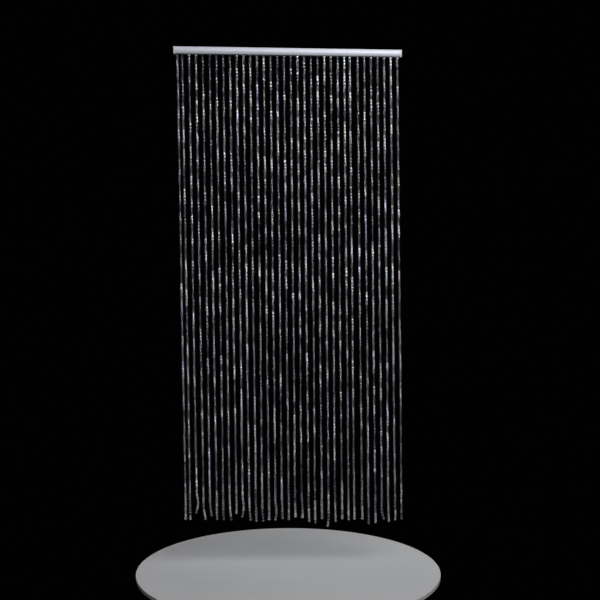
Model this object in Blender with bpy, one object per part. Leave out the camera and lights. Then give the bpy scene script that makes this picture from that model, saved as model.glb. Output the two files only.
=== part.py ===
"""A bead curtain: strands of faceted beads hanging from a slotted metal rail with plastic end caps.

Metres, +Z up. +X runs along the rail to the right, and -Y faces the viewer.
The origin is the centre of the rail's flat back face, which lies on the wall or lintel.
Each strand is a plain four-sided rod here, as wide as its beads. All of them hang from one
strip that lies inside the rail, on the lips of its slot.
"""

import math

import bmesh
import bpy

# Rail, over its end caps
RAIL_LENGTH = 1.336
RAIL_HEIGHT = 0.040
RAIL_DEPTH = 0.028
FRONT_BULGE = 0.006
WALL = 0.0018
SLOT_WIDTH = 0.011
ARC_STEPS = 14
SHARP_ANGLE = math.radians(25)

# End caps
CAP_THICKNESS = 0.010
CAP_OVER_FRONT = 0.0015
CAP_OVER_BOTTOM = 0.0025
CAP_ROUNDING = 0.0010
PLUG_DEPTH = 0.007
PLUG_OVERLAP = 0.002

# Strip that carries the strands inside the rail
STRIP_THICKNESS = 0.0024
FIT_GAP = 0.0003

# Strands
STRAND_COUNT = 34
STRAND_DROP = 2.743
STRAND_PITCH = 0.0394
LEFT_MARGIN = 0.022
FIRST_GAP = 0.028
STRAND_LEAN = 0.033
END_SPREAD = 0.0045
LENGTH_SLOPE = 0.0224
CORD_WIDTH = 0.0030
STRAND_WIDTH = 0.0164
SHOULDER_START = 0.0012
SHOULDER_LENGTH = 0.0050
TIP_LENGTH = 0.005
STRIP_BITE = 0.0012

# Slow waves down each strand, each a step of a turn on from its neighbour's, and its curled end
SIDE_WAVE = 0.0009
SIDE_WAVE_LENGTH = 1.9
SIDE_WAVE_STEP = 0.37
DEPTH_WAVE = 0.0015
DEPTH_WAVE_LENGTH = 2.3
DEPTH_WAVE_STEP = 0.61
CURL_LENGTH = 0.110
CURL_DEPTH_SHARE = 0.25
STRAIGHT_STEPS = 9
CURL_STEPS = 6

# One strand is set a little out of the even row
ODD_STRAND = 26
ODD_STRAND_SHIFT = -0.006

# Lower ends that differ from the common one, in millimetres:
# strand, how much longer it is, how far its end bows sideways, how far its tip turns sideways
END_COLUMNS = ("strand", "longer", "bow", "tip")
END_ROWS = (
    (2, -39, 9, -8),
    (3, -1, 0, 11),
    (4, -22, 0, 9),
    (6, 0, 0, 4),
    (7, 2, 0, 8),
    (8, -36, 0, 0),
    (9, -17, 8, -6),
    (10, 5, 0, 7),
    (11, 10, 0, 3),
    (12, 10, 0, 5),
    (14, 2, 6, -1),
    (15, -8, 0, 3),
    (17, -18, 0, 2),
    (18, -13, 3, 2),
    (19, 10, 0, 3),
    (20, 19, 0, 2),
    (21, -7, 0, 0),
    (22, 38, 3, -7),
    (23, 10, 0, 3),
    (24, -7, 0, 0),
    (26, -4, 0, 0),
    (27, -6, 0, 2),
    (28, 22, 0, 2),
    (29, 17, 0, 0),
    (30, -5, -3, 13),
    (31, 9, 0, 3),
    (32, -3, 0, 0),
    (33, -6, 0, 2),
)
MILLIMETRE = 0.001

RAIL_TOP = RAIL_HEIGHT / 2
RAIL_BOTTOM = -RAIL_HEIGHT / 2
FRONT_RADIUS = ((RAIL_HEIGHT / 2) ** 2 + FRONT_BULGE**2) / (2 * FRONT_BULGE)
FRONT_CENTRE = FRONT_RADIUS - RAIL_DEPTH
METAL_END = RAIL_LENGTH / 2 - CAP_THICKNESS - FIT_GAP


def clear_scene():
    for found in list(bpy.data.objects):
        bpy.data.objects.remove(found, do_unlink=True)


def make_material(name, colour, roughness, metallic=0.0):
    material = bpy.data.materials.new(name)
    material.use_nodes = True
    shader = material.node_tree.nodes["Principled BSDF"]
    shader.inputs["Base Color"].default_value = (*colour, 1.0)
    shader.inputs["Roughness"].default_value = roughness
    shader.inputs["Metallic"].default_value = metallic
    return material


def add_object(name, mesh, material=None):
    obj = bpy.data.objects.new(name, mesh)
    bpy.context.scene.collection.objects.link(obj)
    if material is not None:
        mesh.materials.append(material)
    return obj


def front_arc(inset, height):
    """Points (y, z) down the bowed front, set in by the inset, between plus and minus the height."""
    radius = FRONT_RADIUS - inset
    half_turn = math.asin(height / radius)
    points = []
    for step in range(ARC_STEPS + 1):
        turn = half_turn * (1 - 2 * step / ARC_STEPS)
        points.append((FRONT_CENTRE - radius * math.cos(turn), radius * math.sin(turn)))
    return points


def cavity_outline(inset):
    """The outline (y, z) of the rail's hollow, drawn in from its walls by the inset."""
    height = RAIL_TOP - WALL - inset
    back = -WALL - inset
    return [(back, -height), (back, height), *front_arc(WALL + inset, height)]


def slot_edges():
    """The y of the slot's back edge and of its front edge."""
    cavity = cavity_outline(0.0)
    middle = (cavity[0][0] + cavity[-1][0]) / 2
    return middle + SLOT_WIDTH / 2, middle - SLOT_WIDTH / 2


def rail_outline():
    """The channel's section: round its outside from the back lip to the front one, then back inside."""
    slot_back, slot_front = slot_edges()
    outside = [(slot_back, RAIL_BOTTOM), (0.0, RAIL_BOTTOM), (0.0, RAIL_TOP)]
    outside += front_arc(0.0, RAIL_TOP)
    outside.append((slot_front, RAIL_BOTTOM))
    inside = [(slot_back, RAIL_BOTTOM + WALL), *cavity_outline(0.0), (slot_front, RAIL_BOTTOM + WALL)]
    return outside + inside[::-1]


def cap_outline():
    """The end cap's outline: flush with the rail's back and top, proud of it in front and below."""
    bottom = RAIL_BOTTOM - CAP_OVER_BOTTOM
    bowed = [(y - CAP_OVER_FRONT, z) for y, z in front_arc(0.0, RAIL_TOP)]
    bowed[-1] = (bowed[-1][0], bottom)
    return [(0.0, bottom), (0.0, RAIL_TOP), *bowed]


def extrude_along_x(name, outline, start, end):
    """A closed prism of a section (y, z), from one x to another."""
    shape = bmesh.new()
    near = [shape.verts.new((start, y, z)) for y, z in outline]
    face = shape.faces.new(near)
    moved = bmesh.ops.extrude_face_region(shape, geom=[face])["geom"]
    far = [item for item in moved if isinstance(item, bmesh.types.BMVert)]
    bmesh.ops.translate(shape, verts=far, vec=(end - start, 0, 0))
    bmesh.ops.recalc_face_normals(shape, faces=shape.faces)
    mesh = bpy.data.meshes.new(name)
    shape.to_mesh(mesh)
    shape.free()
    mesh.shade_smooth()
    mesh.set_sharp_from_angle(angle=SHARP_ANGLE)
    return mesh


def make_rail(metal):
    mesh = extrude_along_x("rail", rail_outline(), -METAL_END, METAL_END)
    return add_object("rail", mesh, metal)


def make_end_cap(name, side, plastic):
    """One cap: a rounded block over the rail's end, with a plug inside the channel."""
    outer = side * RAIL_LENGTH / 2
    inner = side * (RAIL_LENGTH / 2 - CAP_THICKNESS)
    cap = add_object(name, extrude_along_x(name, cap_outline(), outer, inner), plastic)
    rounding = cap.modifiers.new("edges", "BEVEL")
    rounding.width = CAP_ROUNDING
    rounding.segments = 2
    rounding.limit_method = "ANGLE"
    plug_start = inner + side * PLUG_OVERLAP
    plug_end = inner - side * (PLUG_DEPTH + FIT_GAP)
    plug_mesh = extrude_along_x(name + "_plug", cavity_outline(FIT_GAP), plug_start, plug_end)
    plug = add_object(name + "_plug", plug_mesh)
    plug.hide_render = True
    plug.display_type = "WIRE"
    join = cap.modifiers.new("plug", "BOOLEAN")
    join.operation = "UNION"
    join.object = plug
    return cap


def strand_x(index):
    """Where a strand leaves the rail: the first gap is narrower than the even pitch after it."""
    x = -RAIL_LENGTH / 2 + LEFT_MARGIN
    if index > 0:
        x += FIRST_GAP + (index - 1) * STRAND_PITCH
    if index == ODD_STRAND:
        x += ODD_STRAND_SHIFT
    return x


def strand_end(index):
    """(length below the rail, bow, tip) of a strand, in metres."""
    row = {"longer": 0, "bow": 0, "tip": 0}
    for values in END_ROWS:
        named = dict(zip(END_COLUMNS, values))
        if named["strand"] == index:
            row = named
    length = STRAND_DROP + LENGTH_SLOPE * strand_x(index) + row["longer"] * MILLIMETRE
    return length, row["bow"] * MILLIMETRE, row["tip"] * MILLIMETRE


def strand_point(index, down):
    """The middle of a strand at a distance below the rail's underside."""
    length, bow, tip = strand_end(index)
    side = SIDE_WAVE * math.sin(math.tau * (down / SIDE_WAVE_LENGTH + SIDE_WAVE_STEP * index))
    depth = DEPTH_WAVE * math.sin(math.tau * (down / DEPTH_WAVE_LENGTH + DEPTH_WAVE_STEP * index))
    grown_in = min(1.0, down / SIDE_WAVE_LENGTH)
    along = max(0.0, (down - (length - CURL_LENGTH)) / CURL_LENGTH)
    curl = bow * math.sin(math.pi * along) + tip * along**2
    turned_in = CURL_DEPTH_SHARE * tip * along**2 * (-1) ** index
    spread = END_SPREAD * math.cos(math.tau * index / (STRAND_COUNT - 1))
    x = strand_x(index) + (STRAND_LEAN + spread) * down / STRAND_DROP + side * grown_in + curl
    y = sum(slot_edges()) / 2 + depth * grown_in + turned_in
    return x, y, RAIL_BOTTOM - down


def strand_rings(index):
    """(distance down, half width) of each ring of a strand, from inside the strip to its tip."""
    length = strand_end(index)[0]
    strip_foot = -(WALL + FIT_GAP)
    rings = [(strip_foot - STRIP_BITE, CORD_WIDTH / 2), (SHOULDER_START, CORD_WIDTH / 2)]
    start = SHOULDER_START + SHOULDER_LENGTH
    bend = length - CURL_LENGTH
    for step in range(STRAIGHT_STEPS + 1):
        rings.append((start + (bend - start) * step / STRAIGHT_STEPS, STRAND_WIDTH / 2))
    for step in range(1, CURL_STEPS + 1):
        rings.append((bend + (CURL_LENGTH - TIP_LENGTH) * step / CURL_STEPS, STRAND_WIDTH / 2))
    rings.append((length, CORD_WIDTH / 2))
    return rings


def add_strand(shape, index):
    """Lofts one four-sided strand through its rings, and closes both ends."""
    loops = []
    for down, half in strand_rings(index):
        x, y, z = strand_point(index, down)
        corners = ((x + half, y), (x, y + half), (x - half, y), (x, y - half))
        loops.append([shape.verts.new((cx, cy, z)) for cx, cy in corners])
    for upper, lower in zip(loops, loops[1:]):
        for side in range(4):
            after = (side + 1) % 4
            shape.faces.new((upper[side], lower[side], lower[after], upper[after]))
    shape.faces.new(loops[0])
    shape.faces.new(loops[-1][::-1])


def make_strands(clear_plastic):
    """All strands, fused at their roots into the strip that lies on the lips of the rail's slot."""
    strip_foot = RAIL_BOTTOM + WALL + FIT_GAP
    strip_end = METAL_END - PLUG_DEPTH - 2 * FIT_GAP
    cavity = cavity_outline(FIT_GAP)
    back = cavity[0][0]
    front = cavity[-1][0]
    section = [(back, strip_foot), (back, strip_foot + STRIP_THICKNESS)]
    section += [(front, strip_foot + STRIP_THICKNESS), (front, strip_foot)]
    strip = add_object("strands", extrude_along_x("strands", section, -strip_end, strip_end), clear_plastic)
    shape = bmesh.new()
    for index in range(STRAND_COUNT):
        add_strand(shape, index)
    bmesh.ops.recalc_face_normals(shape, faces=shape.faces)
    mesh = bpy.data.meshes.new("strand_rods")
    shape.to_mesh(mesh)
    shape.free()
    rods = add_object("strand_rods", mesh)
    rods.hide_render = True
    rods.display_type = "WIRE"
    fuse = strip.modifiers.new("rods", "BOOLEAN")
    fuse.operation = "UNION"
    fuse.object = rods
    return strip


def main():
    clear_scene()
    metal = make_material("satin_metal", (0.72, 0.71, 0.77), 0.35, 1.0)
    cap_plastic = make_material("cap_plastic", (0.86, 0.87, 0.84), 0.4)
    bead_plastic = make_material("bead_plastic", (0.80, 0.80, 0.84), 0.1)
    make_rail(metal)
    make_end_cap("end_cap_left", -1, cap_plastic)
    make_end_cap("end_cap_right", 1, cap_plastic)
    make_strands(bead_plastic)


main()
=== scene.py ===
# %% [markdown]
# # A bead curtain on its rail
#
# This lesson dresses a bead curtain: clear faceted beads on threads, hanging from a slim bow-fronted
# metal rail with a plastic cap at each end. The plain solids of the curtain come first, as a fixed
# frame. Every visible piece is then built around them at the same places, in metres, with +X along
# the rail, -Y towards the viewer and +Z up.

# %% Load the frame
import math
import random

import bmesh
import bpy
import numpy as np
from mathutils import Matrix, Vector


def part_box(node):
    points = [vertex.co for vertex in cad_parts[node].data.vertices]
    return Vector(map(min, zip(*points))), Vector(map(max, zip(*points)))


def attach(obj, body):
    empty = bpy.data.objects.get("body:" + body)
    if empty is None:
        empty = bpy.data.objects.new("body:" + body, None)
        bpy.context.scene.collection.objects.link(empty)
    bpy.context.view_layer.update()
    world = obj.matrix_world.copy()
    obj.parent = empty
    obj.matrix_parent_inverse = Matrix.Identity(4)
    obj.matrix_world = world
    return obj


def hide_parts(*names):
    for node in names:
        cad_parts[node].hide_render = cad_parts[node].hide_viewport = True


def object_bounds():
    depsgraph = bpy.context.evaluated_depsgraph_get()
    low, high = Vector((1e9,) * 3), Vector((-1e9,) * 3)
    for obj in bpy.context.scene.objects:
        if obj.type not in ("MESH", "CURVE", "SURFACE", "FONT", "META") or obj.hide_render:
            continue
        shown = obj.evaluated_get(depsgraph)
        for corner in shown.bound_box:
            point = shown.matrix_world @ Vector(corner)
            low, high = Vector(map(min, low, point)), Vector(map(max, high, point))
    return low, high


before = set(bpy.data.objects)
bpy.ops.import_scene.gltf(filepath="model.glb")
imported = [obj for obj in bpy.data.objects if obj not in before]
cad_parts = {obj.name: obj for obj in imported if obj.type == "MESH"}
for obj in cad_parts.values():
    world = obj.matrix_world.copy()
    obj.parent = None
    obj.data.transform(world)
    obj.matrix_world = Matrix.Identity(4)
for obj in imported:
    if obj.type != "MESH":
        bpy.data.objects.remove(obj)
cad_low, cad_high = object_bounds()
MM = 0.001
print("frame nodes:", ", ".join(sorted(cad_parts)))
print("frame size in mm:", [round(side / MM) for side in cad_high - cad_low])

# %% [markdown]
# ## Camera
#
# The picture was taken from a little left of the curtain's middle and below its rail, so the rail
# falls slightly to the right and the strands draw together downwards. A long lens, far back, keeps
# 34 parallel strands from fanning out. Moving the camera is the honest way to get this perspective:
# the curtain itself keeps its level rail.

# %% Camera
LENS = 60.0
CAMERA_PLACE = Vector((-0.361, -5.902, -1.239))
CAMERA_AIM = Vector((0.068, -0.015, -1.453))

camera = bpy.data.objects.new("camera", bpy.data.cameras.new("camera"))
camera.data.lens = LENS
camera.location = CAMERA_PLACE
camera.rotation_euler = (CAMERA_AIM - CAMERA_PLACE).to_track_quat("-Z", "Y").to_euler()
bpy.context.scene.collection.objects.link(camera)
bpy.context.scene.camera = camera
print("camera is", round((CAMERA_AIM - CAMERA_PLACE).length, 2), "m from the strands")

# %% [markdown]
# ## Light
#
# Facets sparkle only when a lamp stands where they mirror it, and everything else that they mirror
# here is a dark room. So there is one main soft lamp, in front and above: a bead flashes when one of
# its flat sides faces halfway between the camera and that lamp. The lamp is wide, so a facet stays
# lit through much of a bead's turn and the strands glow in stretches as well as in dots. It stands to
# the right, where the right end of the rail mirrors it and the left end doesn't, which shades the
# metal along its length. A grid keeps its light to a cone, so the strands grow dimmer towards the
# left too. A weaker lamp at the left, at mid height, fills the facets that the main one misses and
# the rail's lower edge, and two more serve the views from above and behind. Lamps don't show to the
# camera. Their energy is worked out from a radiance and their area, because radiance is what a mirror
# shows, whatever the lamp's size.

# %% Lamps and world
# name, place, aim, width, height, radiance, width of its cone in degrees
LAMPS = (
    ("key_front", (2.1, -3.4, 1.35), (0.9, 0.0, -1.03), 4.2, 2.1, 2.4, 96),
    ("fill_left", (-2.4, -3.6, -1.6), (0.3, 0.0, -1.3), 1.8, 1.2, 1.9, 180),
    ("overhead", (0.0, 0.3, 2.4), (0.0, 0.0, 0.0), 1.4, 0.9, 4.0, 180),
    ("key_back", (-0.9, 3.6, 3.2), (0.0, 0.0, -1.0), 1.7, 2.0, 4.0, 180),
)
LAMP_COLOUR = (0.955, 0.965, 1.0)
WORLD_COLOUR = (0.80, 0.85, 1.0, 1.0)
WORLD_STRENGTH = 0.0004


def add_lamp(name, place, aim, width, height, radiance, cone):
    lamp = bpy.data.objects.new(name, bpy.data.lights.new(name, "AREA"))
    lamp.data.shape = "RECTANGLE"
    lamp.data.size = width
    lamp.data.size_y = height
    lamp.data.energy = math.pi * width * height * radiance
    lamp.data.spread = math.radians(cone)
    lamp.data.color = LAMP_COLOUR
    lamp.location = place
    lamp.rotation_euler = (Vector(aim) - Vector(place)).to_track_quat("-Z", "Y").to_euler()
    lamp.visible_camera = False
    bpy.context.scene.collection.objects.link(lamp)


for row in LAMPS:
    add_lamp(*row)
world = bpy.data.worlds.new("dark_room")
world.use_nodes = True
world.node_tree.nodes["Background"].inputs["Color"].default_value = WORLD_COLOUR
world.node_tree.nodes["Background"].inputs["Strength"].default_value = WORLD_STRENGTH
bpy.context.scene.world = world
bpy.context.scene.view_settings.view_transform = "Standard"
print(len(LAMPS), "lamps")

# %% [markdown]
# ## Writing finishes as sums
#
# A finish is a network of nodes, but most of it is arithmetic. A small class wraps one socket and
# gives it +, - and *, so a mask can be written as 1 - grain * 0.2, and each sign adds its Math node.
# A second class is the finish itself. Its one method for nodes sets a node's settings first and its
# inputs after, because a setting such as the operation decides which inputs there are.

# %% Socket
class Socket:
    """One output of a node. Arithmetic on it adds Math nodes."""

    def __init__(self, finish, link):
        self.finish = finish
        self.link = link

    def maths(self, operation, first, second=0.0):
        return self.finish.node("ShaderNodeMath", {"operation": operation}, {0: first, 1: second})

    def __add__(self, other):
        return self.maths("ADD", self, other)

    def __radd__(self, other):
        return self.maths("ADD", other, self)

    def __sub__(self, other):
        return self.maths("SUBTRACT", self, other)

    def __rsub__(self, other):
        return self.maths("SUBTRACT", other, self)

    def __mul__(self, other):
        return self.maths("MULTIPLY", self, other)

    def __rmul__(self, other):
        return self.maths("MULTIPLY", other, self)

    def sine(self):
        return self.maths("SINE", self)


print("a socket knows +, - and *")


# %% Finish
class Finish:
    """A Principled material: constants on its own sockets, patterns linked to a few of them."""

    def __init__(self, name, constants=None):
        self.material = bpy.data.materials.new(name)
        self.material.use_nodes = True
        self.tree = self.material.node_tree
        self.shader = self.tree.nodes["Principled BSDF"]
        for socket, value in (constants or {}).items():
            self.shader.inputs[socket].default_value = value

    def node(self, kind, settings=None, inputs=None, output=0):
        """Adds a node: its settings or a ramp's stops first, then its inputs' values or links."""
        node = self.tree.nodes.new(kind)
        for name, value in (settings or {}).items():
            if name == "stops":
                while len(node.color_ramp.elements) < len(value):
                    node.color_ramp.elements.new(1.0)
                for element, (place, colour) in zip(node.color_ramp.elements, value):
                    element.position = place
                    element.color = colour
            else:
                setattr(node, name, value)
        for name, value in (inputs or {}).items():
            if isinstance(value, Socket):
                self.tree.links.new(value.link, node.inputs[name])
            else:
                node.inputs[name].default_value = value
        return Socket(self, node.outputs[output])

    def place(self, scale=(1.0, 1.0, 1.0)):
        """The place on the object in metres, stretched along each axis. Output 3 is Object."""
        spot = self.node("ShaderNodeTexCoord", output=3)
        return self.node("ShaderNodeMapping", {}, {"Vector": spot, "Scale": scale})

    def noise(self, spot, scale, detail=3.0):
        """Noise that changes about this many times a metre."""
        return self.node("ShaderNodeTexNoise", {}, {"Vector": spot, "Scale": scale, "Detail": detail})

    def blend(self, share, first, second, how="MIX"):
        """Mixes two colours. Inputs 6 and 7 of a Mix node are its colours, and so is output 2."""
        settings = {"data_type": "RGBA", "blend_type": how}
        return self.node("ShaderNodeMix", settings, {0: share, 6: first, 7: second}, output=2)

    def face_value(self, name):
        """A number that a mesh stores on its faces. Output 2 gives it as a plain number."""
        return self.node("ShaderNodeAttribute", {"attribute_name": name}, output=2)

    def bump(self, height, strength, distance):
        settings = {"Strength": strength, "Distance": distance, "Height": height}
        return self.node("ShaderNodeBump", {}, settings)

    def connect(self, patterns):
        for socket, pattern in patterns.items():
            self.tree.links.new(pattern.link, self.shader.inputs[socket])
        print("finish:", self.material.name)
        return self.material


def rgb(red, green, blue):
    return (red, green, blue, 1.0)


print("a finish is one shader and the patterns linked to it")

# %% [markdown]
# ## Rail finish
#
# The rail is extruded aluminium with a satin, faintly lavender surface. Extruding leaves fine lines
# along its length, so the grain is noise that is far coarser along X than across it: it shifts the
# roughness and a very light bump, and a slower cloud varies the tone as handling does.

# %% Satin metal
# how many times a metre the grain changes along and across the rail
GRAIN_RATES = (6.0, 900.0, 900.0)


def make_satin_metal():
    finish = Finish("satin_metal", {"Metallic": 0.4})
    grain = finish.noise(finish.place(scale=GRAIN_RATES), 1.0, detail=4.0)
    cloud = finish.noise(finish.place(), 9.0)
    tone = finish.blend(cloud, rgb(0.71, 0.72, 0.79), rgb(0.79, 0.80, 0.87))
    lined = finish.blend(grain * 0.3, tone, rgb(0.58, 0.58, 0.65))
    return finish.connect({
        "Base Color": lined,
        "Roughness": 0.46 + grain * 0.14 + cloud * 0.08,
        "Normal": finish.bump(grain, 0.12, 0.2 * MM),
    })


satin_metal = make_satin_metal()

# %% [markdown]
# ## Rail
#
# The channel's section is drawn once and extruded along X: flat back and top, a bowed front, and two
# lips that leave a slot along its underside. It is the frame's own rail with a finer bow, and its
# long edges are rounded with a small bevel, because a rounded edge catches a line of light and a
# razor-sharp one never does.

# %% Rail section
rail_low, rail_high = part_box("rail")
RAIL_BULGE = 6 * MM
RAIL_WALL = 1.8 * MM
SLOT_WIDTH = 11 * MM
BOW_STEPS = 28

rail_half = (rail_high.z - rail_low.z) / 2
rail_depth = rail_high.y - rail_low.y
bow_radius = (rail_half**2 + RAIL_BULGE**2) / (2 * RAIL_BULGE)
bow_centre = bow_radius - rail_depth


def bow_points(inset, height):
    """Points (y, z) down the bowed front, set in by a wall's thickness."""
    radius = bow_radius - inset
    turn = math.asin(height / radius)
    steps = [turn * (1 - 2 * step / BOW_STEPS) for step in range(BOW_STEPS + 1)]
    return [(bow_centre - radius * math.cos(at), radius * math.sin(at)) for at in steps]


inner_half = rail_half - RAIL_WALL
inner_bow = bow_points(RAIL_WALL, inner_half)
strand_depth = (-RAIL_WALL + inner_bow[-1][0]) / 2
slot_back = strand_depth + SLOT_WIDTH / 2
slot_front = strand_depth - SLOT_WIDTH / 2


def rail_section():
    outside = [(slot_back, -rail_half), (0.0, -rail_half), (0.0, rail_half)]
    outside += bow_points(0.0, rail_half)
    outside.append((slot_front, -rail_half))
    inside = [(slot_back, -inner_half), (-RAIL_WALL, -inner_half), (-RAIL_WALL, inner_half)]
    inside += inner_bow
    inside.append((slot_front, -inner_half))
    return outside + inside[::-1]


print("rail section has", len(rail_section()), "corners")


# %% Tools for one piece
# an edge is rounded where its faces turn by more than this
ROUNDED_ANGLE = math.radians(30)
# an edge stays crisp in the shading where its faces turn by more than this
CRISP_ANGLE = math.radians(40)
# at this weight, large faces count far more than small ones
FULL_WEIGHT = 100


def extrude_section(name, section, start, end):
    """A closed prism of a section (y, z) from one x to another, in a new object."""
    shape = bmesh.new()
    near = [shape.verts.new((start, y, z)) for y, z in section]
    face = shape.faces.new(near)
    moved = bmesh.ops.extrude_face_region(shape, geom=[face])["geom"]
    far = [item for item in moved if isinstance(item, bmesh.types.BMVert)]
    bmesh.ops.translate(shape, verts=far, vec=(end - start, 0, 0))
    bmesh.ops.recalc_face_normals(shape, faces=shape.faces)
    mesh = bpy.data.meshes.new(name)
    shape.to_mesh(mesh)
    shape.free()
    piece = bpy.data.objects.new(name, mesh)
    bpy.context.scene.collection.objects.link(piece)
    return piece


def round_edges(piece, width, segments=2):
    bevel = piece.modifiers.new("rounding", "BEVEL")
    bevel.width = width
    bevel.segments = segments
    bevel.limit_method = "ANGLE"
    bevel.angle_limit = ROUNDED_ANGLE
    piece.data.shade_smooth()


def shade_by_area(piece):
    """Lets large flat faces stay flat in the shading and bends the light over the narrow ones only."""
    weighted = piece.modifiers.new("shading", "WEIGHTED_NORMAL")
    weighted.keep_sharp = True
    weighted.weight = FULL_WEIGHT


def finish_piece(piece, finish, slot, *replaced):
    """Gives a piece its material and its body and, where it stands for solids of the frame, hides them.
    """
    piece.data.materials.append(finish)
    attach(piece, "root")
    if replaced:
        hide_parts(*replaced)


print("tools: extrude, round, shade, finish")

# %% Rail
RAIL_EDGE = 0.5 * MM

rail_channel = extrude_section("rail_channel", rail_section(), rail_low.x, rail_high.x)
round_edges(rail_channel, RAIL_EDGE)
shade_by_area(rail_channel)
finish_piece(rail_channel, satin_metal, "satin_metal", "rail")
print("rail is", round((rail_high.x - rail_low.x) / MM), "mm long")

# %% [markdown]
# ## End caps
#
# Each cap is one moulding: a block that covers the rail's cut end, flush with its back and top and
# proud of it in front and below, and a plug that grips inside the channel. The two are joined with a
# Boolean union. Moulded plastic is softer-edged than metal, so its bevel is wider.

# %% Cap plastic
def make_cap_plastic():
    finish = Finish("cap_plastic")
    cloud = finish.noise(finish.place(), 60.0)
    pores = finish.noise(finish.place(), 1800.0, detail=2.0)
    return finish.connect({
        "Base Color": finish.blend(cloud, rgb(0.70, 0.71, 0.68), rgb(0.82, 0.83, 0.79)),
        "Roughness": 0.34 + cloud * 0.16,
        "Normal": finish.bump(pores, 0.15, 0.1 * MM),
    })


cap_plastic = make_cap_plastic()

# %% End caps
CAP_OVER_FRONT = 1.5 * MM
CAP_OVER_BOTTOM = 2.5 * MM
CAP_EDGE = 1.0 * MM
CAP_THICKNESS = 10 * MM
FIT_GAP = 0.3 * MM
PLUG_OVERLAP = 2 * MM


def cap_section():
    bottom = -rail_half - CAP_OVER_BOTTOM
    bowed = [(y - CAP_OVER_FRONT, z) for y, z in bow_points(0.0, rail_half)]
    bowed[-1] = (bowed[-1][0], bottom)
    return [(0.0, bottom), (0.0, rail_half), *bowed]


def plug_section():
    height = inner_half - FIT_GAP
    back = -RAIL_WALL - FIT_GAP
    return [(back, -height), (back, height), *bow_points(RAIL_WALL + FIT_GAP, height)]


def join_plug(cap, plug):
    """Makes one closed mesh of a cap and its plug."""
    join = cap.modifiers.new("plug", "BOOLEAN")
    join.operation = "UNION"
    join.object = plug
    bpy.context.view_layer.update()
    whole = bpy.data.meshes.new_from_object(cap.evaluated_get(bpy.context.evaluated_depsgraph_get()))
    cap.modifiers.clear()
    cap.data = whole
    bpy.data.objects.remove(plug, do_unlink=True)


def make_cap(name, node):
    low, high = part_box(node)
    side = 1 if low.x > 0 else -1
    outer = high.x if side > 0 else low.x
    inner_end = low.x if side > 0 else high.x
    shoulder = outer - side * CAP_THICKNESS
    cap = extrude_section(name, cap_section(), outer, shoulder)
    plug = extrude_section(name + "_plug", plug_section(), shoulder + side * PLUG_OVERLAP, inner_end)
    round_edges(cap, CAP_EDGE, segments=4)
    join_plug(cap, plug)
    cap.data.set_sharp_from_angle(angle=CRISP_ANGLE)
    shade_by_area(cap)
    finish_piece(cap, cap_plastic, "cap_plastic", node)


for name, node in (("cap_left", "end_cap_left"), ("cap_right", "end_cap_right")):
    make_cap(name, node)
print("two end caps, with their plugs in the channel")

# %% [markdown]
# ## Strip
#
# The strands are knotted through a strip that slides into the channel and lies on its lips. Only its
# underside shows, through the slot. It is woven tape with a stiff coat, so it gets a plain weave in
# its bump and colour, worked out from two crossed waves.

# %% Strip tape
WEAVE_PITCH = 0.9 * MM


def make_strip_tape():
    finish = Finish("strip_tape")
    turns = finish.place(scale=(math.tau / WEAVE_PITCH,) * 3)
    across = finish.node("ShaderNodeSeparateXYZ", {}, {"Vector": turns}, output=0)
    along = finish.node("ShaderNodeSeparateXYZ", {}, {"Vector": turns}, output=1)
    weave = across.sine() * along.sine() * 0.5 + 0.5
    return finish.connect({
        "Base Color": finish.blend(weave, rgb(0.42, 0.42, 0.44), rgb(0.62, 0.62, 0.64)),
        "Roughness": 0.85 - weave * 0.1,
        "Normal": finish.bump(weave, 0.4, 0.2 * MM),
    })


strip_tape = make_strip_tape()

# %% Strip
STRIP_THICKNESS = 2.4 * MM
STRIP_EDGE = 0.4 * MM

strip_foot = -inner_half + FIT_GAP
plug_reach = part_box("end_cap_right")[0].x
strip_half = plug_reach - FIT_GAP
strip_back = -RAIL_WALL - FIT_GAP
strip_front = bow_points(RAIL_WALL + FIT_GAP, inner_half - FIT_GAP)[-1][0]
strip_section = [(strip_back, strip_foot), (strip_back, strip_foot + STRIP_THICKNESS)]
strip_section += [(strip_front, strip_foot + STRIP_THICKNESS), (strip_front, strip_foot)]
hanging_strip = extrude_section("hanging_strip", strip_section, -strip_half, strip_half)
round_edges(hanging_strip, STRIP_EDGE)
shade_by_area(hanging_strip)
finish_piece(hanging_strip, strip_tape, "bead_plastic", "strands")
print("strip is", round(2 * strip_half / MM), "mm long")

# %% [markdown]
# ## Where each strand hangs
#
# All strands share one path. It leaves the rail at an even pitch, leans a little to the right, sways
# by about a millimetre, and ends at its own length with a small curl. Only the first gap is narrower,
# and one strand hangs a little to the left of its place. A formula gives the common path, and a short
# table holds only the lower ends that differ, so the row looks hung by hand without a list of points.

# %% Strand paths
RAIL_LENGTH = 1336 * MM
STRAND_COUNT = 34
STRAND_DROP = 2743 * MM
STRAND_PITCH = 39.4 * MM
LEFT_MARGIN = 22 * MM
FIRST_GAP = 28 * MM
STRAND_LEAN = 33 * MM
END_SPREAD = 4.5 * MM
LENGTH_SLOPE = 0.0224
SIDE_WAVE = 0.9 * MM
SIDE_WAVE_LENGTH = 1.9
SIDE_WAVE_STEP = 0.37
DEPTH_WAVE = 1.5 * MM
DEPTH_WAVE_LENGTH = 2.3
DEPTH_WAVE_STEP = 0.61
CURL_LENGTH = 110 * MM
CURL_DEPTH_SHARE = 0.25
ODD_STRAND = 26
ODD_STRAND_SHIFT = -6 * MM

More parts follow.
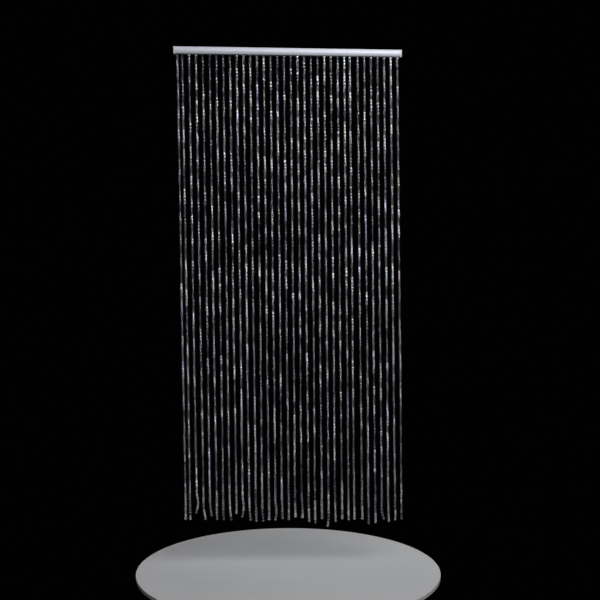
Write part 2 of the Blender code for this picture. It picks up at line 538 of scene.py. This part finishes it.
# Lower ends that differ from the common one, in millimetres
END_COLUMNS = ("strand", "longer", "bow", "tip")
END_ROWS = (
    (2, -39, 9, -8),
    (3, -1, 0, 11),
    (4, -22, 0, 9),
    (6, 0, 0, 4),
    (7, 2, 0, 8),
    (8, -36, 0, 0),
    (9, -17, 8, -6),
    (10, 5, 0, 7),
    (11, 10, 0, 3),
    (12, 10, 0, 5),
    (14, 2, 6, -1),
    (15, -8, 0, 3),
    (17, -18, 0, 2),
    (18, -13, 3, 2),
    (19, 10, 0, 3),
    (20, 19, 0, 2),
    (21, -7, 0, 0),
    (22, 38, 3, -7),
    (23, 10, 0, 3),
    (24, -7, 0, 0),
    (26, -4, 0, 0),
    (27, -6, 0, 2),
    (28, 22, 0, 2),
    (29, 17, 0, 0),
    (30, -5, -3, 13),
    (31, 9, 0, 3),
    (32, -3, 0, 0),
    (33, -6, 0, 2),
)
END_BY_STRAND = {row[0]: dict(zip(END_COLUMNS, row)) for row in END_ROWS}
COMMON_END = {"longer": 0, "bow": 0, "tip": 0}


def strand_x(index):
    x = -RAIL_LENGTH / 2 + LEFT_MARGIN
    if index > 0:
        x += FIRST_GAP + (index - 1) * STRAND_PITCH
    return x + (ODD_STRAND_SHIFT if index == ODD_STRAND else 0.0)


def strand_end(index):
    return END_BY_STRAND.get(index, COMMON_END)


def strand_length(index):
    return STRAND_DROP + LENGTH_SLOPE * strand_x(index) + strand_end(index)["longer"] * MM


def strand_point(index, down):
    """The middle of a strand at a distance below the rail's underside."""
    end = strand_end(index)
    side = SIDE_WAVE * math.sin(math.tau * (down / SIDE_WAVE_LENGTH + SIDE_WAVE_STEP * index))
    depth = DEPTH_WAVE * math.sin(math.tau * (down / DEPTH_WAVE_LENGTH + DEPTH_WAVE_STEP * index))
    grown_in = min(1.0, max(0.0, down) / SIDE_WAVE_LENGTH)
    along = max(0.0, (down - (strand_length(index) - CURL_LENGTH)) / CURL_LENGTH)
    curl = (end["bow"] * math.sin(math.pi * along) + end["tip"] * along**2) * MM
    turned_in = CURL_DEPTH_SHARE * end["tip"] * MM * along**2 * (-1) ** index
    spread = END_SPREAD * math.cos(math.tau * index / (STRAND_COUNT - 1))
    x = strand_x(index) + (STRAND_LEAN + spread) * down / STRAND_DROP + side * grown_in + curl
    return Vector((x, strand_depth + depth * grown_in + turned_in, -rail_half - down))


print("strands hang", round(min(strand_length(i) for i in range(STRAND_COUNT)), 3), "to",
      round(max(strand_length(i) for i in range(STRAND_COUNT)), 3), "m below the rail")

# %% [markdown]
# ## Beads
#
# A bead is an octagonal barrel cut in nine bands of flat facets. A cut bead has no round faces at
# all, so it is shaded flat: each facet shows one patch of the room, and the sparkle jumps from facet
# to facet. The bands are what make the whole drop sparkle. A camera and a lamp at fixed heights meet
# in the upright middle band for the beads near the rail, and in a steeper band for each lower one.

# %% Bead shape
BEAD_SIDES = 8
BEAD_PITCH = 19.05 * MM
BEAD_RADIUS = 8.2 * MM
# the bands from the middle upwards: their tilt from upright in degrees and their length in mm
BANDS = ((0, 1.4), (12, 2.85), (23, 2.6), (34, 1.1), (56, 1.6))


def ring_sizes():
    """Height above the bead's middle and radius to the corners of each ring, from the top down."""
    height, flat_radius = 0.0, BEAD_RADIUS * math.cos(math.pi / BEAD_SIDES)
    upper = []
    for tilt, length in BANDS:
        height += length * MM * math.cos(math.radians(tilt))
        flat_radius -= length * MM * math.sin(math.radians(tilt))
        upper.insert(0, (height, flat_radius / math.cos(math.pi / BEAD_SIDES)))
    return upper + [(-height, radius) for height, radius in reversed(upper)]


def ring_faces(rings, sides):
    """Point numbers of the faces between rings of points, then of the two ends."""
    quads = []
    for ring in range(rings - 1):
        for side in range(sides):
            after = (side + 1) % sides
            top = ring * sides
            quads.append((top + side, top + sides + side, top + sides + after, top + after))
    last = (rings - 1) * sides
    return quads + [tuple(range(sides)), tuple(reversed(range(last, last + sides)))]


BEAD_RINGS = ring_sizes()
BEAD_LENGTH = 2 * BEAD_RINGS[0][0]
BEAD_FACES = ring_faces(len(BEAD_RINGS), BEAD_SIDES)


def bead_points(turn, size):
    """The points of one bead round the origin, ring by ring from its top."""
    angles = turn + np.arange(BEAD_SIDES) * math.tau / BEAD_SIDES
    rings = []
    for height, radius in BEAD_RINGS:
        level = np.full(BEAD_SIDES, height)
        rings.append(np.stack([radius * np.cos(angles), radius * np.sin(angles), level], axis=1))
    return np.concatenate(rings) * size


def aim_along(points, direction):
    """Turns points so that their Z axis lies along a direction."""
    turn = np.array(Vector((0, 0, 1)).rotation_difference(direction).to_matrix())
    return points @ turn.T


print("a bead has", len(BEAD_FACES), "facets and is", round(BEAD_LENGTH / MM, 1), "mm long")

# %% [markdown]
# ## Threads
#
# The thread runs through all the beads of a strand and up through the slot and the strip, with a knot
# on top of the strip and another under the last bead. A six-sided tube round the path is enough for a
# thread just over a millimetre thick, and a knot is a place where the tube swells: a few rings in the
# shape of a ball, and a short tail.

# %% Thread tube
THREAD_WIDTH = 1.3 * MM
THREAD_SIDES = 6
THREAD_STEP = 55 * MM
KNOT_WIDTH = 3.4 * MM
TAIL_LENGTH = 2.5 * MM
STRIP_TOP = -(RAIL_WALL + FIT_GAP + STRIP_THICKNESS)
# a knot's rings: how far down it each one lies and how wide it is, as shares of the knot's width
KNOT_RINGS = ((0.0, 0.25), (0.15, 0.42), (0.45, 0.5), (0.75, 0.42), (0.9, 0.25))


def knot(start):
    """Rings (distance down, radius) of a knot that begins at a distance below the rail's underside."""
    return [(start + down * KNOT_WIDTH, wide * KNOT_WIDTH) for down, wide in KNOT_RINGS]


def thread_rings(last_bead):
    """Rings (distance down, radius) from the tail above the strip to the tail under the last bead."""
    thin, tail = THREAD_WIDTH / 2, THREAD_WIDTH / 4
    top_knot = knot(STRIP_TOP - KNOT_WIDTH)
    steps = round(last_bead / THREAD_STEP)
    middle = [(last_bead * step / steps, thin) for step in range(steps + 1)]
    foot_knot = knot(last_bead)
    foot_tail = foot_knot[-1][0] + TAIL_LENGTH
    return [(top_knot[0][0] - TAIL_LENGTH, tail), *top_knot, *middle, *foot_knot, (foot_tail, tail)]


def tube_points(index, rings):
    """Level rings of points round a strand's path."""
    angles = np.arange(THREAD_SIDES) * math.tau / THREAD_SIDES
    circle = np.stack([np.cos(angles), np.sin(angles), np.zeros(THREAD_SIDES)], axis=1)
    return np.concatenate([np.array(strand_point(index, down)) + circle * wide for down, wide in rings])


print("threads are", THREAD_WIDTH / MM, "mm thick")

# %% [markdown]
# ## Bead finish
#
# The beads are clear plastic with a thin coat that shimmers. The coat mirrors part of the light, so
# Metallic is nearly a half, and the rest passes through. Each bead stores two numbers on its facets.
# The first picks a hue from a ramp of pale tints, and drifts slowly along a strand. The second is
# painted shade: it darkens the coat's colour for beads turned away from the lamp, and makes the coat
# a little rougher. It changes in short runs of beads.

# %% Bead coat
TINT = "bead_tint"
SHADE = "bead_shade"
TINT_STOPS = (
    (0.00, rgb(0.72, 0.74, 0.93)),
    (0.14, rgb(0.82, 0.82, 0.90)),
    (0.34, rgb(0.86, 0.85, 0.90)),
    (0.50, rgb(0.89, 0.88, 0.83)),
    (0.60, rgb(0.86, 0.86, 0.90)),
    (0.76, rgb(0.90, 0.82, 0.89)),
    (0.88, rgb(0.84, 0.86, 0.91)),
    (1.00, rgb(0.76, 0.88, 0.90)),
)


def make_bead_coat():
    constants = {"Metallic": 0.45, "Transmission Weight": 0.95, "IOR": 1.49, "Coat Weight": 1.0}
    finish = Finish("bead_coat", constants)
    shade = finish.face_value(SHADE)
    hue = finish.node("ShaderNodeValToRGB", {"stops": TINT_STOPS}, {"Fac": finish.face_value(TINT)})
    return finish.connect({
        # painted shade: the face value darkens the tint towards this dark grey, for beads turned away
        # from the lamp
        "Base Color": finish.blend(shade, hue, rgb(0.16, 0.16, 0.19), how="MULTIPLY"),
        "Roughness": 0.17 + shade * 0.09,
    })


bead_coat = make_bead_coat()

# %% [markdown]
# ## Thread finish
#
# The thread is nylon, pale grey and a little dull. One flat colour would do from afar, but it shows
# between the beads in a close view, so fine noise breaks up its colour and its shine, as loose
# fibres do.

# %% Thread nylon
def make_thread_nylon():
    finish = Finish("thread_nylon")
    fibres = finish.noise(finish.place(), 900.0, detail=2.0)
    return finish.connect({
        "Base Color": finish.blend(fibres, rgb(0.38, 0.38, 0.41), rgb(0.58, 0.58, 0.61)),
        "Roughness": 0.45 + fibres * 0.2,
    })


thread_nylon = make_thread_nylon()

# %% [markdown]
# ## How the beads vary
#
# Beads in a neat row look like a drawing, so each bead gets a turn, a tint and a painted shade of its
# own.
# The beads turn a little from one to the next. That twist is even near the rail, where the thread is
# held, and drifts more and more towards the free end. The drift is a sum of three slow waves that
# begin at random, and the seed is fixed, so every run hangs the same curtain.

# %% Turn, tint and painted shade
SEED = 34
TWIST_STEP = math.radians(7.5)
# how much of the twist is lost by the last bead
TWIST_EASE = 0.5
# how far the twist drifts: by the first number near the rail, and by both together at the free end
RAIL_DRIFT = 0.36
END_DRIFT = 1.2
TURN_JITTER = math.radians(2.0)
TINT_JITTER = 0.04
# the fewest and the most beads in a run of like painted shade, and how that painted shade is spread
RUN_BEADS = (2, 9)
SHADE_MIDDLE = 0.45
SHADE_DEPTH = 0.56
SHADE_DRIFT = 0.15
SHADE_JITTER = 0.08
# how many times each wave rises and falls along a strand
TWIST_RATES = (1.3, 4.7, 10.9)
TINT_RATES = (1.3, 3.1, 7.7)
SHADE_RATES = (0.8, 2.3, 5.9)

draw = random.Random(SEED)


def draw_waves(rates):
    """Each wave's rate, and where it begins."""
    return [(rate, draw.random()) for rate in rates]


def slow_wave(waves, along):
    """A smooth drift between -1 and 1, at a share of the way along a strand."""
    total = sum(math.sin(math.tau * (along * rate + begin)) for rate, begin in waves)
    return total / len(waves)


def strand_twists(count):
    """The turn of each bead about its thread."""
    waves = draw_waves(TWIST_RATES)
    turn = draw.uniform(0, math.tau)
    turns = []
    for bead in range(count):
        along = bead / count
        drift = (RAIL_DRIFT + END_DRIFT * along) * slow_wave(waves, along)
        turn += TWIST_STEP * (1 - TWIST_EASE * along) * (1 + drift)
        turns.append(turn + draw.gauss(0, TURN_JITTER))
    return turns


def strand_tints(count):
    """The coat's place on the tint ramp for each bead."""
    waves = draw_waves(TINT_RATES)
    drifts = [slow_wave(waves, bead / count) for bead in range(count)]
    return [0.5 + 0.5 * drift + draw.gauss(0, TINT_JITTER) for drift in drifts]


def strand_shades(count):
    """How much painted shade darkens each bead's coat, from 0 to 1, in short runs of beads alike."""
    waves = draw_waves(SHADE_RATES)
    shades = []
    while len(shades) < count:
        level = SHADE_MIDDLE + SHADE_DRIFT * slow_wave(waves, len(shades) / count)
        level += draw.uniform(-SHADE_DEPTH, SHADE_DEPTH)
        for _ in range(draw.randint(*RUN_BEADS)):
            shades.append(min(1.0, max(0.0, level + draw.gauss(0, SHADE_JITTER))))
    return shades[:count]


print("beads turn by about", round(math.degrees(TWIST_STEP), 1), "degrees from one to the next")

# %% [markdown]
# ## Strands
#
# Each strand is one piece: its beads and its thread, built straight from arrays of points, which is
# far quicker than adding 4,900 objects. A bead is tilted by a degree or so, because its hole is wider
# than the thread, and a few strands end in a larger, brighter bead.

# %% One strand
TILT_JITTER = math.radians(1.0)
SIZE_JITTER = 0.02
END_BEAD_SIZE = 1.12
BRIGHT_ENDS = (0, 1, 13, 17, 18, 24, 27)
# a facet's middle then faces halfway between the camera and the main lamp, 14 degrees right of -Y
LAMP_SIDE = 14
BRIGHT_TURN = math.radians(LAMP_SIDE - 90) - math.pi / BEAD_SIDES
# the thread stores a number too, because each face of a mesh has one
THREAD_VALUE = 0.5


def bead_direction(index, down, pitch):
    """The way up through a bead's hole."""
    above = strand_point(index, down - pitch / 2)
    below = strand_point(index, down + pitch / 2)
    direction = (above - below).normalized()
    tilted = Vector((draw.gauss(0, TILT_JITTER), draw.gauss(0, TILT_JITTER), 1)).normalized()
    direction.rotate(Vector((0, 0, 1)).rotation_difference(tilted))
    return direction


def bead_blocks(index, count, pitch):
    """The points, faces, material, tint and painted shade of each bead on a strand."""
    blocks = []
    looks = zip(strand_twists(count), strand_tints(count), strand_shades(count))
    for bead, (turn, tint, shade) in enumerate(looks):
        down = (bead + 0.5) * pitch
        direction = bead_direction(index, down, pitch)
        if bead == count - 1 and index in BRIGHT_ENDS:
            turn, shade, size = BRIGHT_TURN, 0.0, END_BEAD_SIZE
        else:
            size = 1.0 + draw.gauss(0, SIZE_JITTER)
        points = aim_along(bead_points(turn, size), direction) + np.array(strand_point(index, down))
        blocks.append((points, BEAD_FACES, 0, tint, shade))
    return blocks


def thread_block(index, last_bead):
    """The same for the thread, which has the second material."""
    rings = thread_rings(last_bead)
    faces = ring_faces(len(rings), THREAD_SIDES)
    return (tube_points(index, rings), faces, 1, THREAD_VALUE, THREAD_VALUE)


def join_blocks(name, blocks, finishes):
    """One mesh from blocks, each with its own points, faces, material, tint and painted shade."""
    faces, slots, tints, shades = [], [], [], []
    used = 0
    for points, block_faces, slot, tint, shade in blocks:
        faces += [tuple(used + point for point in face) for face in block_faces]
        slots += [slot] * len(block_faces)
        tints += [tint] * len(block_faces)
        shades += [shade] * len(block_faces)
        used += len(points)
    mesh = bpy.data.meshes.new(name)
    mesh.from_pydata(np.concatenate([block[0] for block in blocks]).tolist(), [], faces)
    for finish in finishes:
        mesh.materials.append(finish)
    mesh.polygons.foreach_set("material_index", slots)
    for layer, values in ((TINT, tints), (SHADE, shades)):
        mesh.attributes.new(layer, "FLOAT", "FACE").data.foreach_set("value", values)
    mesh.update()
    return mesh


def make_strand(index):
    """Hangs one strand and gives the number of its beads."""
    length = strand_length(index)
    count = round(length / BEAD_PITCH)
    pitch = length / count
    blocks = bead_blocks(index, count, pitch)
    blocks.append(thread_block(index, length - pitch / 2 + BEAD_LENGTH / 2))
    mesh = join_blocks(f"strand_{index + 1:02d}", blocks, (bead_coat, thread_nylon))
    strand = bpy.data.objects.new(mesh.name, mesh)
    bpy.context.scene.collection.objects.link(strand)
    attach(strand, "root")
    return count


print("a strand's thread has", len(thread_rings(STRAND_DROP)), "rings")

# %% All strands
beads = sum(make_strand(index) for index in range(STRAND_COUNT))
print(beads, "beads on", STRAND_COUNT, "strands")

# %% [markdown]
# ## Floor
#
# A low round floor of pale matt board stands under the curtain, a little below the longest strand. It
# is part of the set and not of the curtain. It is kept small, so that the strands are seen against
# the dark room and not against a bright surface.

# %% Floor
FLOOR_BELOW = 250 * MM
FLOOR_RADIUS = 0.9
FLOOR_THICKNESS = 20 * MM


def make_pale_board():
    finish = Finish("pale_board")
    cloud = finish.noise(finish.place(), 2.0, detail=4.0)
    return finish.connect({
        "Base Color": finish.blend(cloud, rgb(0.72, 0.72, 0.71), rgb(0.78, 0.78, 0.77)),
        "Roughness": 0.8 + cloud * 0.1,
    })


shape = bmesh.new()
bmesh.ops.create_cone(shape, cap_ends=True, segments=128, radius1=FLOOR_RADIUS, radius2=FLOOR_RADIUS,
                      depth=FLOOR_THICKNESS)
floor_mesh = bpy.data.meshes.new("floor")
shape.to_mesh(floor_mesh)
shape.free()
floor = bpy.data.objects.new("floor", floor_mesh)
floor.location = (0.0, 0.0, cad_low.z - FLOOR_BELOW - FLOOR_THICKNESS / 2)
bpy.context.scene.collection.objects.link(floor)
floor_mesh.materials.append(make_pale_board())
print("floor lies at", round(cad_low.z - FLOOR_BELOW, 3), "m")
